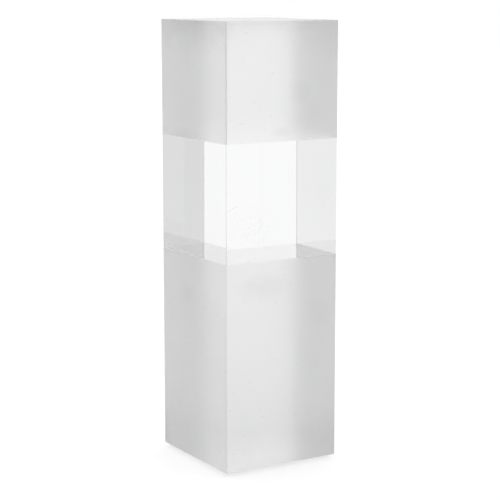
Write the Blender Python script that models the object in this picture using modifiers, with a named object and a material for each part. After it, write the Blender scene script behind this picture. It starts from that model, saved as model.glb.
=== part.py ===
"""Solid display column: a frosted base, a polished clear centre and a frosted head, bonded end to end.

The column stands on four clear bumper feet. Its frame has +Z up, with the origin on the
supporting surface, under the middle of the column.
"""

import bpy

MM = 0.001

# Driving dimensions
SIDE = 70.0 * MM  # width and depth of the square column
BASE_HEIGHT = 113.5 * MM
CENTRE_HEIGHT = 62.5 * MM
HEAD_HEIGHT = 63.0 * MM
EDGE_BREAK = 0.6 * MM  # width of the flame-polished rounding on the outer edges
EDGE_SEGMENTS = 3
BOND_THICKNESS = 0.4 * MM  # cured film of clear casting cement
FOOT_DIAMETER = 9.5 * MM
FOOT_HEIGHT = 1.5 * MM
FOOT_DRAFT = 0.35 * MM  # how much smaller a foot's radius is where it meets the surface
FOOT_EDGE = 0.3 * MM  # rounding round a foot's lower rim
FOOT_SIDES = 48
FOOT_MARGIN = 7.0 * MM  # clear stretch between a foot and the column's sides

# Clearances
SEAT_GAP = 0.3 * MM  # between two pieces that are bonded or stuck face to face

# Heights of the lower faces, from the supporting surface up
BASE_BOTTOM = FOOT_HEIGHT + SEAT_GAP
LOWER_BOND_BOTTOM = BASE_BOTTOM + BASE_HEIGHT + SEAT_GAP
CENTRE_BOTTOM = LOWER_BOND_BOTTOM + BOND_THICKNESS + SEAT_GAP
UPPER_BOND_BOTTOM = CENTRE_BOTTOM + CENTRE_HEIGHT + SEAT_GAP
HEAD_BOTTOM = UPPER_BOND_BOTTOM + BOND_THICKNESS + SEAT_GAP

# Distance from the column's axis to a foot's centre, along X and along Y
FOOT_REACH = SIDE / 2 - FOOT_MARGIN - FOOT_DIAMETER / 2


def clear_scene():
    for obj in list(bpy.data.objects):
        bpy.data.objects.remove(obj, do_unlink=True)


def acrylic(name, colour, roughness, transmission):
    """A Principled material for clear or frosted acrylic."""
    material = bpy.data.materials.new(name)
    material.use_nodes = True
    shader = material.node_tree.nodes["Principled BSDF"]
    shader.inputs["Base Color"].default_value = (*colour, 1.0)
    shader.inputs["Roughness"].default_value = roughness
    shader.inputs["Metallic"].default_value = 0.0
    shader.inputs["Transmission Weight"].default_value = transmission
    return material


def weight_edges(mesh, chosen):
    """Marks the edges that a Bevel modifier rounds."""
    weights = mesh.attributes.new("bevel_weight_edge", "FLOAT", "EDGE")
    for edge in mesh.edges:
        ends = [mesh.vertices[index].co for index in edge.vertices]
        weights.data[edge.index].value = 1.0 if chosen(*ends) else 0.0


def square_section(name, bottom, height, material, parts, rounded_end=None):
    """A square block with its upright edges broken, and those of one end if it is exposed.

    rounded_end is +1 for the upper end, -1 for the lower end, or None where both ends are bonded.
    """
    bpy.ops.mesh.primitive_cube_add(size=1.0, location=(0.0, 0.0, bottom + height / 2))
    block = bpy.context.object
    block.name = name
    block.scale = (SIDE, SIDE, height)
    bpy.ops.object.transform_apply(location=False, rotation=False, scale=True)

    def exposed(start, end):
        upright = start.z * end.z < 0
        at_end = rounded_end is not None and min(start.z * rounded_end, end.z * rounded_end) > 0
        return upright or at_end

    weight_edges(block.data, exposed)
    bevel = block.modifiers.new("edge break", "BEVEL")
    bevel.limit_method = "WEIGHT"
    bevel.width = EDGE_BREAK
    bevel.segments = EDGE_SEGMENTS
    adopt(block, material, parts)
    return block


def bumper_foot(name, x, y, material, parts):
    """A round self-adhesive foot, a little narrower where it meets the surface."""
    bpy.ops.mesh.primitive_cone_add(
        vertices=FOOT_SIDES,
        radius1=FOOT_DIAMETER / 2 - FOOT_DRAFT,
        radius2=FOOT_DIAMETER / 2,
        depth=FOOT_HEIGHT,
        location=(x, y, FOOT_HEIGHT / 2),
    )
    foot = bpy.context.object
    foot.name = name
    foot.data.shade_smooth()
    weight_edges(foot.data, lambda start, end: max(start.z, end.z) < 0)
    bevel = foot.modifiers.new("lower rim", "BEVEL")
    bevel.limit_method = "WEIGHT"
    bevel.width = FOOT_EDGE
    bevel.segments = 2
    adopt(foot, material, parts)
    return foot


def adopt(obj, material, parts):
    """Gives an object its material and moves it into the column's collection."""
    obj.data.materials.append(material)
    for collection in list(obj.users_collection):
        collection.objects.unlink(obj)
    parts.objects.link(obj)


def build_column():
    parts = bpy.data.collections.new("display_column")
    bpy.context.scene.collection.children.link(parts)

    frosted = acrylic("frosted_acrylic", (0.90, 0.90, 0.90), roughness=0.4, transmission=0.6)
    clear = acrylic("clear_acrylic", (0.96, 0.96, 0.96), roughness=0.02, transmission=1.0)
    cement = acrylic("bond_cement", (0.95, 0.95, 0.95), roughness=0.05, transmission=1.0)
    bumper = acrylic("bumper_rubber", (0.86, 0.87, 0.87), roughness=0.3, transmission=0.7)

    square_section("frosted_base_block", BASE_BOTTOM, BASE_HEIGHT, frosted, parts, rounded_end=-1)
    square_section("lower_bond_line", LOWER_BOND_BOTTOM, BOND_THICKNESS, cement, parts)
    square_section("clear_centre_block", CENTRE_BOTTOM, CENTRE_HEIGHT, clear, parts)
    square_section("upper_bond_line", UPPER_BOND_BOTTOM, BOND_THICKNESS, cement, parts)
    square_section("frosted_head_block", HEAD_BOTTOM, HEAD_HEIGHT, frosted, parts, rounded_end=1)

    corners = [
        (f"bumper_foot_{front_back}_{left_right}", x * FOOT_REACH, y * FOOT_REACH)
        for front_back, y in (("front", -1), ("back", 1))
        for left_right, x in (("left", -1), ("right", 1))
    ]
    for name, x, y in corners:
        bumper_foot(name, x, y, bumper, parts)


clear_scene()
build_column()
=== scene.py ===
"""Looks of the solid acrylic display column: satin base and head, polished clear centre."""

import math

import bmesh
import bpy
from mathutils import Euler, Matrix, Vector


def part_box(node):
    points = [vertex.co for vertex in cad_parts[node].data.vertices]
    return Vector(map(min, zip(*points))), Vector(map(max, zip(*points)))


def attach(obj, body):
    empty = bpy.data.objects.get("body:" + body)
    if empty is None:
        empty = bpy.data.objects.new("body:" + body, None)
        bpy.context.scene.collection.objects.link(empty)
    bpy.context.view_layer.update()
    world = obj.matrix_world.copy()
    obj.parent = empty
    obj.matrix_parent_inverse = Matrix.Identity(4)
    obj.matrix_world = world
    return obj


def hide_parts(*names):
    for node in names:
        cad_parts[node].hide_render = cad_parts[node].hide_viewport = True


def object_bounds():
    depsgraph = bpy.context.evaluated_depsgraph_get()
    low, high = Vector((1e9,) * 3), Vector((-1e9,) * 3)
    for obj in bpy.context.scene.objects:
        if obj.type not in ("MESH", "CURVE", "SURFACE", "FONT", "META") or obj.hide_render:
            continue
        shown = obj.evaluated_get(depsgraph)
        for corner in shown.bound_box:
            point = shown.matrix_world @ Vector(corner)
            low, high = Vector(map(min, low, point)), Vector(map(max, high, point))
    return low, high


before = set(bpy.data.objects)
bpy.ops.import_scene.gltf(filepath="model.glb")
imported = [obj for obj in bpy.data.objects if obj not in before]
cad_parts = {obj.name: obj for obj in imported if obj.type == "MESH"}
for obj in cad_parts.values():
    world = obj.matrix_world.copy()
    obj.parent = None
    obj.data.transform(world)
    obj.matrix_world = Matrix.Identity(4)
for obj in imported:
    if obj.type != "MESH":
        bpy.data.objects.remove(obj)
CAD_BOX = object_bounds()

MM = 0.001

# Column
EDGE_BREAK = 0.6 * MM
EDGE_SEGMENTS = 6
BOND_FILM = 0.02 * MM  # the cement is index-matched, so it shows no thickness of its own
BOND_INSET = 0.6 * MM  # how far the cement stays behind the sides

# Optics
ACRYLIC_IOR = 1.545
SATIN_ROUGHNESS = (0.44, 0.52)
TOP_ROUGHNESS = (0.18, 0.22)
TOP_TRANSMISSION = 0.4  # the top face is ground dull, so it scatters more than it passes
CLEAR_TINT = (0.985, 0.988, 0.988)
SATIN_TINT = (0.998, 1.0, 1.0)

# Soft patches and painted shade on the satin faces: centre and radii in mm on the left face (x -35) and the right
# face (y -35). The painted shade darkens the head's top band and top corner and the base's lower band and outer
# corners
SATIN_MARK_AND_SHADE = (0.55, 0.55, 0.55)
SATIN_BLOTCHES_AND_SHADE = (
    ((-1.2, -35.0, 184.0), (9.5, 6.0, 3.6), 0.34),
    ((11.0, -35.0, 205.0), (9.0, 6.0, 8.0), 0.28),
    ((-12.8, -35.0, 101.3), (21.0, 6.0, 9.5), 0.3),
    ((25.1, -35.0, 84.6), (12.0, 6.0, 9.5), 0.22),
    # painted shade: the head's top corner
    ((35.0, -35.0, 240.0), (22.0, 8.0, 22.0), 0.25),
    # painted shade: the base's outer corner
    ((35.0, -35.0, 6.0), (14.0, 8.0, 30.0), 0.32),
    ((-35.0, 9.0, 181.0), (6.0, 17.0, 5.0), 0.34),
    ((-35.0, 6.0, 92.7), (6.0, 17.0, 10.0), 0.18),
    # painted shade: the head's top band on the left face
    ((-35.0, -6.0, 245.0), (8.0, 72.0, 22.0), 0.42),
    # painted shade: the base's outer corner on the left face
    ((-35.0, 35.0, 5.0), (8.0, 18.0, 26.0), 0.36),
    # painted shade: the head's top band on the right face
    ((0.0, -35.0, 244.0), (60.0, 5.0, 9.0), 0.22),
    # painted shade: the base's lower band on both faces
    ((5.0, -35.0, -4.0), (70.0, 5.0, 44.0), 0.24),
    ((-35.0, 5.0, -4.0), (5.0, 70.0, 44.0), 0.26),
)
SATIN_SCRATCHES = (
    (((-35.0, -8.0, 63.2), (0.0, 0.6, -1.0), (0.0, 1.0, 0.6), 2.4, 0.3), 0.6),
    (((-35.0, -9.6, 62.6), (0.0, 1.0, 0.9), (0.0, -0.9, 1.0), 2.0, 0.3), 0.6),
    (((-25.0, -35.0, 189.6), (1.0, 0.0, 0.1), (-0.1, 0.0, 1.0), 2.6, 0.26, 0.22), 0.5),
)
SPECKS = (5.0, 0.42)  # spacing and radius in mm
SPECK_STRENGTH = 0.85
GRAIN_STRENGTH = 0.07
EDGE_SHADE = (0.7, 0.0)  # how much the rounded upright edges of head and base are darkened

# Handling marks on the polished faces
CLEAR_MARK = (0.78, 0.785, 0.785)
CLEAR_SMUDGES = (
    ((-19.0, -35.0, 134.0), (19.0, 5.0, 14.0), 0.4),
    ((24.0, -35.0, 150.0), (14.0, 5.0, 24.0), 0.3),
    ((-35.0, 10.0, 150.0), (5.0, 20.0, 20.0), 0.2),
)
CLEAR_SCRATCHES = (
    (((-31.0, -35.0, 145.6), (1.0, 0.0, 0.35), (-0.35, 0.0, 1.0), 3.6, 0.35, -0.03), 0.7),
    (((29.5, -35.0, 157.0), (0.0, 0.0, 1.0), (1.0, 0.0, 0.0), 9.5, 0.2, 0.03), 0.5),
)

# A path through the column is reflected inside many times and crosses the bonded faces each time
LIGHT_BOUNCES = 24
JOINT_CROSSINGS = 96

# Camera
CAMERA_PLACE = Vector((-0.4492, -0.7345, 0.2641))
CAMERA_YAW = math.radians(31.5)  # to the right of the +Y axis
CAMERA_PITCH = math.radians(9.23)  # downwards
CAMERA_LENS = 113.2
CAMERA_SHIFT = -0.03

# Studio: the radiance all round is a level plus a slope along the view and across it
VIEW = Vector((math.sin(CAMERA_YAW), math.cos(CAMERA_YAW), 0.0))
LEFT = Vector((-math.cos(CAMERA_YAW), math.sin(CAMERA_YAW), 0.0))
STUDIO_LEVEL = 0.78
STUDIO_DEPTH_SLOPE = 0.215
STUDIO_SIDE_SLOPE = -0.01
STUDIO_UP_SLOPE = -0.01
FLOOR_SIZE = 8.0
FLOOR_COLOUR = 0.9
CAMERA_LIFT = 0.4  # brings the floor to white for the camera
FAR_FLOOR = (0.1, 0.6)  # distances between which the painted shadow fades and the floor takes on the studio's own level
SHADOWED_FLOOR_SHARE = 0.88  # the part of that it has right at the column, where it is darkened as a painted shadow of the column
LEVEL_ORIGIN = 0.08  # how far in front of the column the floor's directions are counted from


def new_material(name):
    material = bpy.data.materials.new(name)
    material.use_nodes = True
    return material, material.node_tree.nodes, material.node_tree.links


def noise(nodes, links, scale, detail=3.0, roughness=0.5):
    """A noise texture in object space, with scale in features per metre."""
    coordinates = nodes.new("ShaderNodeTexCoord")
    texture = nodes.new("ShaderNodeTexNoise")
    texture.inputs["Scale"].default_value = scale
    texture.inputs["Detail"].default_value = detail
    texture.inputs["Roughness"].default_value = roughness
    links.new(coordinates.outputs["Object"], texture.inputs["Vector"])
    return texture.outputs["Fac"]


def mapped(nodes, links, value, low, high, to_low, to_high):
    node = nodes.new("ShaderNodeMapRange")
    node.inputs["From Min"].default_value = low
    node.inputs["From Max"].default_value = high
    node.inputs["To Min"].default_value = to_low
    node.inputs["To Max"].default_value = to_high
    links.new(value, node.inputs["Value"])
    return node.outputs["Result"]


def smooth(nodes, links, value, low, high, to_low, to_high):
    result = mapped(nodes, links, value, low, high, to_low, to_high)
    result.node.interpolation_type = "SMOOTHSTEP"
    return result


def blotch(nodes, links, centre, radii):
    """A soft round patch in object space, 1 in its middle and 0 at its radii. Both in mm."""
    place = nodes.new("ShaderNodeTexCoord").outputs["Object"]
    offset = vector_node(nodes, links, "SUBTRACT", place, Vector(centre) * MM)
    scaled = vector_node(nodes, links, "MULTIPLY", offset, Vector([1 / (radius * MM) for radius in radii]))
    reach = vector_node(nodes, links, "LENGTH", scaled)
    ragged = mapped(nodes, links, noise(nodes, links, 140.0), 0.0, 1.0, -0.45, 0.45)
    return smooth(nodes, links, math_node(nodes, links, "ADD", reach, ragged), 0.0, 1.2, 1.0, 0.0)


def scratch(nodes, links, centre, along, across, half_length, half_width, bend=0.0):
    """A hair-thin curved mark through a centre, in mm, bending by its distance along squared."""
    place = nodes.new("ShaderNodeTexCoord").outputs["Object"]
    offset = vector_node(nodes, links, "SUBTRACT", place, Vector(centre) * MM)
    travel = vector_node(nodes, links, "DOT_PRODUCT", offset, Vector(along).normalized() / MM)
    aside = vector_node(nodes, links, "DOT_PRODUCT", offset, Vector(across).normalized() / MM)
    sag = math_node(nodes, links, "MULTIPLY", math_node(nodes, links, "MULTIPLY", travel, travel), bend)
    distance = math_node(nodes, links, "ABSOLUTE", math_node(nodes, links, "SUBTRACT", aside, sag), 0.0)
    reach = math_node(nodes, links, "ABSOLUTE", travel, 0.0)
    width = smooth(nodes, links, distance, half_width * 0.4, half_width, 1.0, 0.0)
    length = smooth(nodes, links, reach, half_length * 0.7, half_length, 1.0, 0.0)
    return math_node(nodes, links, "MULTIPLY", width, length)


def specks(nodes, links, spacing, radius):
    """Tiny round spots scattered at about a spacing, both in mm."""
    coordinates = nodes.new("ShaderNodeTexCoord")
    texture = nodes.new("ShaderNodeTexVoronoi")
    texture.inputs["Scale"].default_value = 1 / (spacing * MM)
    links.new(coordinates.outputs["Object"], texture.inputs["Vector"])
    share = radius / spacing
    return mapped(nodes, links, texture.outputs["Distance"], share * 0.5, share, 1.0, 0.0)


def upright_edge_shade(nodes, links):
    """How much painted shade a place on the satin sections gets from lying on an upright edge, stronger on the head.
    """
    place = nodes.new("ShaderNodeTexCoord").outputs["Object"]
    axes = nodes.new("ShaderNodeSeparateXYZ")
    links.new(place, axes.inputs["Vector"])
    across = math_node(nodes, links, "ABSOLUTE", axes.outputs["X"], 0.0)
    deep = math_node(nodes, links, "ABSOLUTE", axes.outputs["Y"], 0.0)
    corner = math_node(nodes, links, "MINIMUM", across, deep)
    side = CAD_BOX[1][0]
    near = smooth(nodes, links, corner, side - 1.5 * EDGE_BREAK, side - 0.5 * EDGE_BREAK, 0.0, 1.0)
    head = mapped(nodes, links, axes.outputs["Z"], 0.14, 0.15, EDGE_SHADE[1], EDGE_SHADE[0])
    return math_node(nodes, links, "MULTIPLY", near, head)


def summed(nodes, links, marks):
    """The strongest of a list of (mark, strength)."""
    total = 0.0
    for mark, strength in marks:
        total = math_node(nodes, links, "MAXIMUM", math_node(nodes, links, "MULTIPLY", mark, strength), total)
    return total


def tinted(nodes, links, value, plain, marked):
    """Goes from a plain colour to a marked one as the value goes from 0 to 1."""
    mix = nodes.new("ShaderNodeMix")
    mix.data_type = "RGBA"
    mix.inputs["A"].default_value = (*plain, 1.0)
    mix.inputs["B"].default_value = (*marked, 1.0)
    links.new(value, mix.inputs["Factor"])
    return mix.outputs["Result"]


def satin_acrylic(name, roughness, transmission):
    """Sand-blasted acrylic: rough refraction, fine grain, soft uneven patches, specks and a few scratches, with
    painted shade in some of the patches and along the upright edges.
    """
    material, nodes, links = new_material(name)
    shader = nodes["Principled BSDF"]
    shader.inputs["Transmission Weight"].default_value = transmission
    shader.inputs["IOR"].default_value = ACRYLIC_IOR
    cloud = noise(nodes, links, 45.0)
    grain = noise(nodes, links, 1000.0, detail=1.0)
    # soft patches, and painted shade at the head's top and the base's bottom
    marks = [(blotch(nodes, links, centre, radii), strength) for centre, radii, strength in SATIN_BLOTCHES_AND_SHADE]
    marks += [(scratch(nodes, links, *shape), strength) for shape, strength in SATIN_SCRATCHES]
    marks += [(specks(nodes, links, *SPECKS), SPECK_STRENGTH)]
    marks += [(mapped(nodes, links, grain, 0.35, 0.7, 0.0, 1.0), GRAIN_STRENGTH)]
    # painted shade along the upright edges
    marks += [(upright_edge_shade(nodes, links), 1.0)]
    marked = summed(nodes, links, marks)
    # marks and painted shade all darken towards one colour
    links.new(tinted(nodes, links, marked, SATIN_TINT, SATIN_MARK_AND_SHADE), shader.inputs["Base Color"])
    links.new(mapped(nodes, links, cloud, 0.3, 0.7, *roughness), shader.inputs["Roughness"])
    return material


def clear_acrylic():
    """Polished acrylic with faint handling marks."""
    material, nodes, links = new_material("polished_acrylic")
    shader = nodes["Principled BSDF"]
    shader.inputs["Transmission Weight"].default_value = 1.0
    shader.inputs["IOR"].default_value = ACRYLIC_IOR
    wiped = noise(nodes, links, 900.0, detail=5.0)
    wiped = mapped(nodes, links, wiped, 0.46, 0.62, 0.0, 1.0)
    marks = []
    for centre, radii, strength in CLEAR_SMUDGES:
        smudge = math_node(nodes, links, "MULTIPLY", blotch(nodes, links, centre, radii), wiped)
        marks.append((smudge, strength))
    marks += [(scratch(nodes, links, *shape), strength) for shape, strength in CLEAR_SCRATCHES]
    marked = summed(nodes, links, marks)
    links.new(tinted(nodes, links, marked, CLEAR_TINT, CLEAR_MARK), shader.inputs["Base Color"])
    links.new(mapped(nodes, links, marked, 0.0, 1.0, 0.0, 0.06), shader.inputs["Roughness"])
    return material


def joint_face():
    """The bonded end of a section, which light passes as if the plastic ran on."""
    material, nodes, links = new_material("bonded_face")
    nodes.remove(nodes["Principled BSDF"])
    passing = nodes.new("ShaderNodeBsdfTransparent")
    links.new(passing.outputs["BSDF"], nodes["Material Output"].inputs["Surface"])
    return material


def bumper_rubber():
    material, nodes, links = new_material("bumper_polyurethane")
    shader = nodes["Principled BSDF"]
    shader.inputs["Base Color"].default_value = (0.9, 0.91, 0.91, 1.0)
    shader.inputs["Transmission Weight"].default_value = 0.9
    shader.inputs["IOR"].default_value = 1.5
    haze = noise(nodes, links, 400.0)
    links.new(mapped(nodes, links, haze, 0.3, 0.7, 0.15, 0.3), shader.inputs["Roughness"])
    return material


def section(name, node, low, high, surface, joint, bonded, end=None, inset=0.0):
    """A closed square block between two heights, its exposed edges rounded, its bonded ends clear to light."""
    bonded_low, bonded_high = bonded
    box_low, box_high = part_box(node)
    centre = (Vector(box_low) + Vector(box_high)) / 2
    width = box_high[0] - box_low[0] - 2 * inset
    mesh = bpy.data.meshes.new(name)
    bm = bmesh.new()
    bmesh.ops.create_cube(bm, size=1.0)

    def exposed(edge):
        levels = {vert.co.z > 0 for vert in edge.verts}
        if len(levels) == 2:
            return True
        return not (bonded_high if levels == {True} else bonded_low)

    rounded = [edge for edge in bm.edges if exposed(edge)]
    for vert in bm.verts:
        vert.co.x = centre.x + vert.co.x * width
        vert.co.y = centre.y + vert.co.y * width
        vert.co.z = high if vert.co.z > 0 else low
    bmesh.ops.bevel(
        bm,
        geom=rounded,
        offset=EDGE_BREAK,
        segments=EDGE_SEGMENTS,
        profile=0.5,
        affect="EDGES",
    )
    bm.normal_update()
    for face in bm.faces:
        upwards = face.normal.z > 0.99 and bonded_high
        downwards = face.normal.z < -0.99 and bonded_low
        face.material_index = 1 if upwards or downwards else 0
        if end and abs(face.normal.z) > 0.99 and face.material_index == 0:
            face.material_index = 2
    bm.to_mesh(mesh)
    bm.free()
    mesh.materials.append(surface)
    mesh.materials.append(joint)
    if end:
        mesh.materials.append(end)
    piece = bpy.data.objects.new(name, mesh)
    bpy.context.scene.collection.objects.link(piece)
    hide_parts(node)
    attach(piece, "root")
    return piece


def build_column():
    satin = satin_acrylic("satin_acrylic", SATIN_ROUGHNESS, 1.0)
    top = satin_acrylic("satin_top", TOP_ROUGHNESS, TOP_TRANSMISSION)
    clear = clear_acrylic()
    joint = joint_face()
    base_low, base_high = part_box("frosted_base_block")
    centre_low, centre_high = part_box("clear_centre_block")
    head_low, head_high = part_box("frosted_head_block")
    lower = (base_high[2] + centre_low[2]) / 2
    upper = (centre_high[2] + head_low[2]) / 2
    half = BOND_FILM / 2
    base = section("satin_base", "frosted_base_block", base_low[2], lower - half, satin, joint, (False, True), clear)
    film = section("lower_bond", "lower_bond_line", lower - half, lower + half, joint, joint, (True, True), None, BOND_INSET)
    centre = section("clear_centre", "clear_centre_block", lower + half, upper - half, clear, joint, (True, True))
    seam = section("upper_bond", "upper_bond_line", upper - half, upper + half, joint, joint, (True, True), None, BOND_INSET)
    head = section("satin_head", "frosted_head_block", upper + half, head_high[2], satin, joint, (True, False), top)

    rubber = bumper_rubber()
    for name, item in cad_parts.items():
        if name.startswith("bumper_foot"):
            item.material_slots[0].material = rubber


def math_node(nodes, links, operation, first, second):
    """A Math node. Each input is a socket or a plain number."""
    node = nodes.new("ShaderNodeMath")
    node.operation = operation
    for socket, value in zip(node.inputs, (first, second)):
        if isinstance(value, (int, float)):
            socket.default_value = value
        else:
            links.new(value, socket)
    return node.outputs[0]


def vector_node(nodes, links, operation, first, second=None):
    node = nodes.new("ShaderNodeVectorMath")
    node.operation = operation
    links.new(first, node.inputs[0])
    if second is not None:
        node.inputs[1].default_value = second
    return node.outputs["Value" if operation in ("DOT_PRODUCT", "LENGTH") else "Vector"]


def studio_level(nodes, links, direction):
    """The studio's radiance in a direction: brightest behind the column, dimmer to its right and in front."""
    slope = VIEW * STUDIO_DEPTH_SLOPE + LEFT * STUDIO_SIDE_SLOPE + Vector((0.0, 0.0, STUDIO_UP_SLOPE))
    return math_node(nodes, links, "ADD", vector_node(nodes, links, "DOT_PRODUCT", direction, slope), STUDIO_LEVEL)


def build_floor():
    """A pale floor with the column's shadow on it. Seen through the plastic it glows at the studio's own level
    instead, with a painted shadow that darkens it near the column.
    """
    material, nodes, links = new_material("floor")
    nodes.remove(nodes["Principled BSDF"])
    place = nodes.new("ShaderNodeTexCoord").outputs["Object"]
    from_front = vector_node(nodes, links, "ADD", place, VIEW * LEVEL_ORIGIN)
    level = studio_level(nodes, links, vector_node(nodes, links, "NORMALIZE", from_front))
    share = mapped(nodes, links, vector_node(nodes, links, "LENGTH", place), *FAR_FLOOR, SHADOWED_FLOOR_SHARE, 1.0)
    path = nodes.new("ShaderNodeLightPath").outputs
    through = math_node(nodes, links, "MAXIMUM", path["Is Glossy Ray"], path["Is Transmission Ray"])

    diffuse = nodes.new("ShaderNodeBsdfDiffuse")
    diffuse.inputs["Color"].default_value = (FLOOR_COLOUR, FLOOR_COLOUR, FLOOR_COLOUR, 1.0)
    lift = nodes.new("ShaderNodeEmission")
    links.new(math_node(nodes, links, "MULTIPLY", path["Is Camera Ray"], CAMERA_LIFT), lift.inputs["Strength"])
    direct = nodes.new("ShaderNodeAddShader")
    links.new(diffuse.outputs[0], direct.inputs[0])
    links.new(lift.outputs[0], direct.inputs[1])
    # seen through the plastic the floor glows at the studio's level, painted darker near the column as a painted
    # shadow
    through_glow = nodes.new("ShaderNodeEmission")
    links.new(math_node(nodes, links, "MULTIPLY", level, share), through_glow.inputs["Strength"])
    both = nodes.new("ShaderNodeMixShader")
    links.new(through, both.inputs["Fac"])
    links.new(direct.outputs[0], both.inputs[1])
    links.new(through_glow.outputs[0], both.inputs[2])
    links.new(both.outputs[0], nodes["Material Output"].inputs["Surface"])

    bpy.ops.mesh.primitive_plane_add(size=FLOOR_SIZE, location=(0.0, 0.0, CAD_BOX[0][2]))
    floor = bpy.context.object
    floor.name = "floor"
    floor.data.materials.append(material)


def build_world():
    """Soft light from all round, and plain white where the camera looks past the floor."""
    world = bpy.data.worlds.new("studio")
    bpy.context.scene.world = world
    world.use_nodes = True
    nodes, links = world.node_tree.nodes, world.node_tree.links
    nodes.clear()
    direction = nodes.new("ShaderNodeTexCoord").outputs["Generated"]
    studio = nodes.new("ShaderNodeBackground")
    studio.inputs["Color"].default_value = (1.0, 1.0, 1.0, 1.0)
    links.new(studio_level(nodes, links, direction), studio.inputs["Strength"])
    white = nodes.new("ShaderNodeBackground")
    white.inputs["Color"].default_value = (1.0, 1.0, 1.0, 1.0)
    mix = nodes.new("ShaderNodeMixShader")
    links.new(nodes.new("ShaderNodeLightPath").outputs["Is Camera Ray"], mix.inputs["Fac"])
    links.new(studio.outputs[0], mix.inputs[1])
    links.new(white.outputs[0], mix.inputs[2])
    output = nodes.new("ShaderNodeOutputWorld")
    links.new(mix.outputs[0], output.inputs["Surface"])


def build_camera():
    data = bpy.data.cameras.new("camera")
    data.lens = CAMERA_LENS
    data.sensor_width = 36.0
    data.shift_y = CAMERA_SHIFT
    camera = bpy.data.objects.new("camera", data)
    camera.location = CAMERA_PLACE
    camera.rotation_euler = Euler((math.pi / 2 - CAMERA_PITCH, 0.0, -CAMERA_YAW))
    bpy.context.scene.collection.objects.link(camera)
    bpy.context.scene.camera = camera


build_camera()
build_column()
build_floor()
build_world()
bpy.context.scene.view_settings.view_transform = "Standard"
bpy.context.scene.cycles.max_bounces = LIGHT_BOUNCES
bpy.context.scene.cycles.transmission_bounces = LIGHT_BOUNCES
bpy.context.scene.cycles.glossy_bounces = LIGHT_BOUNCES
bpy.context.scene.cycles.transparent_max_bounces = JOINT_CROSSINGS
